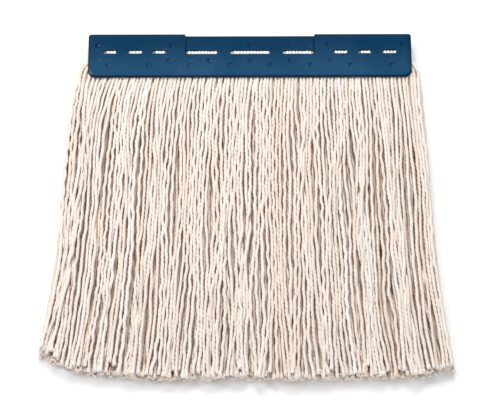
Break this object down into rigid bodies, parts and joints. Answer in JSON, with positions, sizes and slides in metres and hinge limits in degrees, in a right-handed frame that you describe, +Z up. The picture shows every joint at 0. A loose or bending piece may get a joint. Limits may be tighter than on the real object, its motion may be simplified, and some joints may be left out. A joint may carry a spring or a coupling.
{
  "type": "string mop",
  "caption": "String mop refill: a skirt of twisted cotton yarn clamped between two moulded plastic plates that fit a mop holder.",
  "frame": {"origin": "centre of the mop's box, on the surface that it lies on", "axes": "+X along the plates, +Y from the yarn tips to the plates' top edge, +Z up out of the front plate"},
  "size_m": [0.2926, 0.276, 0.012],
  "materials": {
    "plate_plastic": "semi-matte moulded plastic",
    "cotton_yarn": "twisted natural cotton",
    "stitch_thread": "spun polyester thread"
  },
  "bodies": {
    "clamp": {"front_plate": "plate_plastic", "back_plate": "plate_plastic", "yarn_header": "cotton_yarn", "needle_thread": "stitch_thread", "bobbin_thread": "stitch_thread"},
    "upper_tuft_01": {"upper_tuft_01": "cotton_yarn"},
    "upper_tuft_02": {"upper_tuft_02": "cotton_yarn"},
    "upper_tuft_03": {"upper_tuft_03": "cotton_yarn"},
    "upper_tuft_04": {"upper_tuft_04": "cotton_yarn"},
    "upper_tuft_05": {"upper_tuft_05": "cotton_yarn"},
    "upper_tuft_06": {"upper_tuft_06": "cotton_yarn"},
    "upper_tuft_07": {"upper_tuft_07": "cotton_yarn"},
    "upper_tuft_08": {"upper_tuft_08": "cotton_yarn"},
    "upper_tuft_09": {"upper_tuft_09": "cotton_yarn"},
    "upper_tuft_10": {"upper_tuft_10": "cotton_yarn"},
    "upper_tuft_11": {"upper_tuft_11": "cotton_yarn"},
    "upper_tuft_12": {"upper_tuft_12": "cotton_yarn"},
    "lower_tuft_01": {"lower_tuft_01": "cotton_yarn"},
    "lower_tuft_02": {"lower_tuft_02": "cotton_yarn"},
    "lower_tuft_03": {"lower_tuft_03": "cotton_yarn"},
    "lower_tuft_04": {"lower_tuft_04": "cotton_yarn"},
    "lower_tuft_05": {"lower_tuft_05": "cotton_yarn"},
    "lower_tuft_06": {"lower_tuft_06": "cotton_yarn"},
    "lower_tuft_07": {"lower_tuft_07": "cotton_yarn"},
    "lower_tuft_08": {"lower_tuft_08": "cotton_yarn"},
    "lower_tuft_09": {"lower_tuft_09": "cotton_yarn"},
    "lower_tuft_10": {"lower_tuft_10": "cotton_yarn"},
    "lower_tuft_11": {"lower_tuft_11": "cotton_yarn"},
    "lower_tuft_12": {"lower_tuft_12": "cotton_yarn"}
  },
  "joints": [
    {"name": "upper_tuft_01_bend", "type": "hinge", "parent": "clamp", "child": "upper_tuft_01", "pos_m": [0, 0.0986, 0.00785], "axis": [-1, 0, 0], "range_deg": [0, 85]},
    {"name": "upper_tuft_02_bend", "type": "hinge", "parent": "clamp", "child": "upper_tuft_02", "pos_m": [0, 0.0986, 0.00785], "axis": [-1, 0, 0], "range_deg": [0, 85]},
    {"name": "upper_tuft_03_bend", "type": "hinge", "parent": "clamp", "child": "upper_tuft_03", "pos_m": [0, 0.0986, 0.00785], "axis": [-1, 0, 0], "range_deg": [0, 85]},
    {"name": "upper_tuft_04_bend", "type": "hinge", "parent": "clamp", "child": "upper_tuft_04", "pos_m": [0, 0.0986, 0.00785], "axis": [-1, 0, 0], "range_deg": [0, 85]},
    {"name": "upper_tuft_05_bend", "type": "hinge", "parent": "clamp", "child": "upper_tuft_05", "pos_m": [0, 0.0986, 0.00785], "axis": [-1, 0, 0], "range_deg": [0, 85]},
    {"name": "upper_tuft_06_bend", "type": "hinge", "parent": "clamp", "child": "upper_tuft_06", "pos_m": [0, 0.0986, 0.00785], "axis": [-1, 0, 0], "range_deg": [0, 85]},
    {"name": "upper_tuft_07_bend", "type": "hinge", "parent": "clamp", "child": "upper_tuft_07", "pos_m": [0, 0.0986, 0.00785], "axis": [-1, 0, 0], "range_deg": [0, 85]},
    {"name": "upper_tuft_08_bend", "type": "hinge", "parent": "clamp", "child": "upper_tuft_08", "pos_m": [0, 0.0986, 0.00785], "axis": [-1, 0, 0], "range_deg": [0, 85]},
    {"name": "upper_tuft_09_bend", "type": "hinge", "parent": "clamp", "child": "upper_tuft_09", "pos_m": [0, 0.0986, 0.00785], "axis": [-1, 0, 0], "range_deg": [0, 85]},
    {"name": "upper_tuft_10_bend", "type": "hinge", "parent": "clamp", "child": "upper_tuft_10", "pos_m": [0, 0.0986, 0.00785], "axis": [-1, 0, 0], "range_deg": [0, 85]},
    {"name": "upper_tuft_11_bend", "type": "hinge", "parent": "clamp", "child": "upper_tuft_11", "pos_m": [0, 0.0986, 0.00785], "axis": [-1, 0, 0], "range_deg": [0, 85]},
    {"name": "upper_tuft_12_bend", "type": "hinge", "parent": "clamp", "child": "upper_tuft_12", "pos_m": [0, 0.0986, 0.00785], "axis": [-1, 0, 0], "range_deg": [0, 85]},
    {"name": "lower_tuft_01_bend", "type": "hinge", "parent": "clamp", "child": "lower_tuft_01", "pos_m": [0, 0.0986, 0.00415], "axis": [-1, 0, 0], "range_deg": [-85, 0]},
    {"name": "lower_tuft_02_bend", "type": "hinge", "parent": "clamp", "child": "lower_tuft_02", "pos_m": [0, 0.0986, 0.00415], "axis": [-1, 0, 0], "range_deg": [-85, 0]},
    {"name": "lower_tuft_03_bend", "type": "hinge", "parent": "clamp", "child": "lower_tuft_03", "pos_m": [0, 0.0986, 0.00415], "axis": [-1, 0, 0], "range_deg": [-85, 0]},
    {"name": "lower_tuft_04_bend", "type": "hinge", "parent": "clamp", "child": "lower_tuft_04", "pos_m": [0, 0.0986, 0.00415], "axis": [-1, 0, 0], "range_deg": [-85, 0]},
    {"name": "lower_tuft_05_bend", "type": "hinge", "parent": "clamp", "child": "lower_tuft_05", "pos_m": [0, 0.0986, 0.00415], "axis": [-1, 0, 0], "range_deg": [-85, 0]},
    {"name": "lower_tuft_06_bend", "type": "hinge", "parent": "clamp", "child": "lower_tuft_06", "pos_m": [0, 0.0986, 0.00415], "axis": [-1, 0, 0], "range_deg": [-85, 0]},
    {"name": "lower_tuft_07_bend", "type": "hinge", "parent": "clamp", "child": "lower_tuft_07", "pos_m": [0, 0.0986, 0.00415], "axis": [-1, 0, 0], "range_deg": [-85, 0]},
    {"name": "lower_tuft_08_bend", "type": "hinge", "parent": "clamp", "child": "lower_tuft_08", "pos_m": [0, 0.0986, 0.00415], "axis": [-1, 0, 0], "range_deg": [-85, 0]},
    {"name": "lower_tuft_09_bend", "type": "hinge", "parent": "clamp", "child": "lower_tuft_09", "pos_m": [0, 0.0986, 0.00415], "axis": [-1, 0, 0], "range_deg": [-85, 0]},
    {"name": "lower_tuft_10_bend", "type": "hinge", "parent": "clamp", "child": "lower_tuft_10", "pos_m": [0, 0.0986, 0.00415], "axis": [-1, 0, 0], "range_deg": [-85, 0]},
    {"name": "lower_tuft_11_bend", "type": "hinge", "parent": "clamp", "child": "lower_tuft_11", "pos_m": [0, 0.0986, 0.00415], "axis": [-1, 0, 0], "range_deg": [-85, 0]},
    {"name": "lower_tuft_12_bend", "type": "hinge", "parent": "clamp", "child": "lower_tuft_12", "pos_m": [0, 0.0986, 0.00415], "axis": [-1, 0, 0], "range_deg": [-85, 0]}
  ]
}
